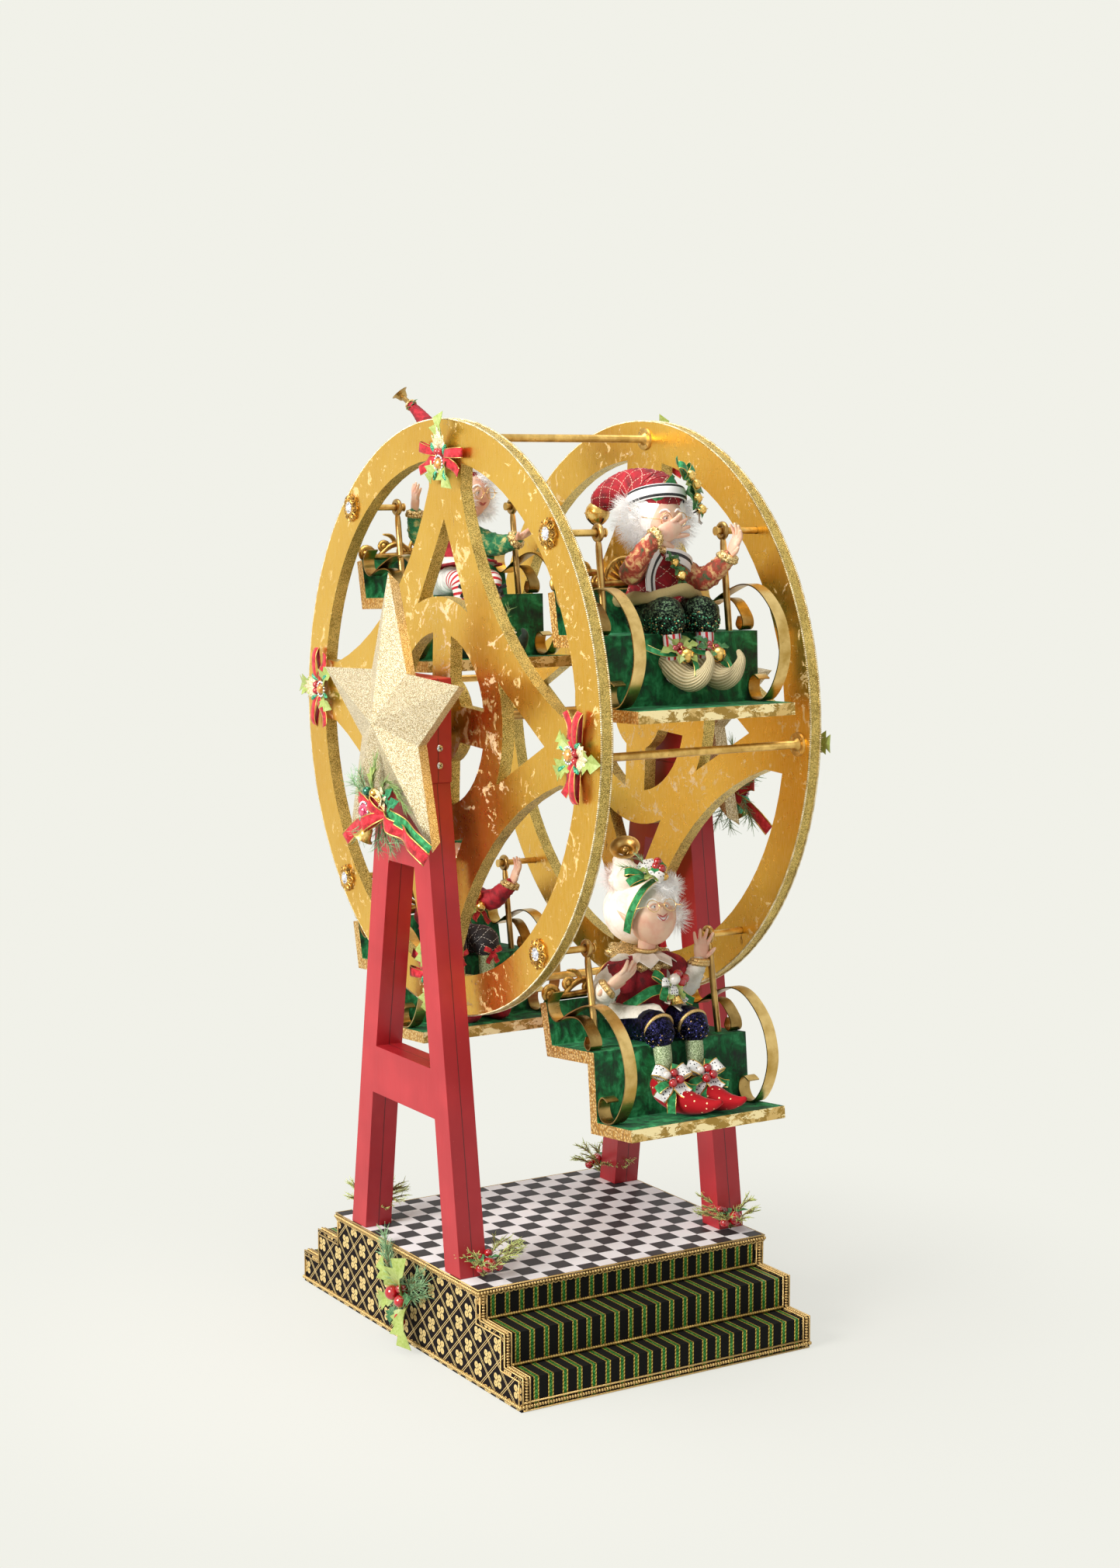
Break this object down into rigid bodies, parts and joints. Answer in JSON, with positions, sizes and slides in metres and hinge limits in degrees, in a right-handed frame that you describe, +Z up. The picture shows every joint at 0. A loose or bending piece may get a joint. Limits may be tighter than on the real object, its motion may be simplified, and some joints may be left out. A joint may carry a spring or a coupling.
{
  "type": "ferris wheel decoration",
  "caption": "Tabletop ferris wheel with hanging gondolas and seated elf dolls, turning on an axle between two A-frames on a stepped base.",
  "frame": {"origin": "middle of the base's underside, on the surface it stands on", "axes": "+Z up, X along the axle, -Y the way the riders face"},
  "size_m": [0.4846, 0.741, 1.1645],
  "materials": {
    "gold_leaf": "gold leaf over red bole on sawn board, worn in patches",
    "gold_metal": "gold plated, satin",
    "bronze": "aged bronze, satin",
    "steel": "satin",
    "red_paint": "satin red paint",
    "green_velvet": "crushed green velvet over board, with gold edges",
    "black_brocade": "black and gold woven cover over board",
    "checker_floor": "dark and light squares",
    "bare_wood": "bare plywood",
    "pale_glitter": "pale gold glitter",
    "doll_cloth": "velvet, sequins and knitted stockings",
    "doll_head": "painted face, white hair and cloth hat"
  },
  "bodies": {
    "stand": {"base_bottom_board": "bare_wood", "base_side_left": "black_brocade", "base_side_right": "black_brocade", "base_steps": "black_brocade", "platform_floor": "checker_floor", "a_frame_left": "red_paint", "a_frame_right": "red_paint", "bearing_block_left": "red_paint", "bearing_block_right": "red_paint", "bearing_bush_left": "steel", "bearing_bush_right": "steel", "star_left": "pale_glitter", "star_right": "pale_glitter"},
    "wheel": {"axle": "bronze", "wheel_left": "gold_leaf", "wheel_right": "gold_leaf", "cross_rod_top": "gold_metal", "cross_rod_back": "gold_metal", "cross_rod_bottom": "gold_metal", "cross_rod_front": "gold_metal", "pivot_pin_front_top_left": "gold_metal", "pivot_pin_front_top_right": "gold_metal", "pivot_pin_back_top_left": "gold_metal", "pivot_pin_back_top_right": "gold_metal", "pivot_pin_back_bottom_left": "gold_metal", "pivot_pin_back_bottom_right": "gold_metal", "pivot_pin_front_bottom_left": "gold_metal", "pivot_pin_front_bottom_right": "gold_metal"},
    "seat_front_top": {"gondola_front_top": "green_velvet", "crest_front_top": "gold_leaf", "hanger_front_top_left": "bronze", "hanger_front_top_right": "bronze", "armrest_front_top_left": "bronze", "armrest_front_top_right": "bronze", "rider_front_top_body": "doll_cloth", "rider_front_top_head": "doll_head"},
    "seat_back_top": {"gondola_back_top": "green_velvet", "crest_back_top": "gold_leaf", "hanger_back_top_left": "bronze", "hanger_back_top_right": "bronze", "armrest_back_top_left": "bronze", "armrest_back_top_right": "bronze", "rider_back_top_body": "doll_cloth", "rider_back_top_head": "doll_head"},
    "seat_back_bottom": {"gondola_back_bottom": "green_velvet", "crest_back_bottom": "gold_leaf", "hanger_back_bottom_left": "bronze", "hanger_back_bottom_right": "bronze", "armrest_back_bottom_left": "bronze", "armrest_back_bottom_right": "bronze", "rider_back_bottom_body": "doll_cloth", "rider_back_bottom_head": "doll_head"},
    "seat_front_bottom": {"gondola_front_bottom": "green_velvet", "crest_front_bottom": "gold_leaf", "hanger_front_bottom_left": "bronze", "hanger_front_bottom_right": "bronze", "armrest_front_bottom_left": "bronze", "armrest_front_bottom_right": "bronze", "rider_front_bottom_body": "doll_cloth", "rider_front_bottom_head": "doll_head"}
  },
  "joints": [
    {"name": "wheel_spin", "type": "hinge", "parent": "stand", "child": "wheel", "pos_m": [0, 0, 0.759], "axis": [1, 0, 0], "continuous": true},
    {"name": "swing_front_top", "type": "hinge", "parent": "wheel", "child": "seat_front_top", "pos_m": [0, -0.24778, 0.98446], "axis": [1, 0, 0], "continuous": true},
    {"name": "swing_back_top", "type": "hinge", "parent": "wheel", "child": "seat_back_top", "pos_m": [0, 0.22546, 1.00678], "axis": [1, 0, 0], "continuous": true},
    {"name": "swing_back_bottom", "type": "hinge", "parent": "wheel", "child": "seat_back_bottom", "pos_m": [0, 0.24778, 0.53354], "axis": [1, 0, 0], "continuous": true},
    {"name": "swing_front_bottom", "type": "hinge", "parent": "wheel", "child": "seat_front_bottom", "pos_m": [0, -0.22546, 0.51122], "axis": [1, 0, 0], "continuous": true}
  ],
  "couplings": [
    {"joint": "swing_front_top", "follows": "wheel_spin", "ratio": -1},
    {"joint": "swing_back_top", "follows": "wheel_spin", "ratio": -1},
    {"joint": "swing_back_bottom", "follows": "wheel_spin", "ratio": -1},
    {"joint": "swing_front_bottom", "follows": "wheel_spin", "ratio": -1}
  ]
}
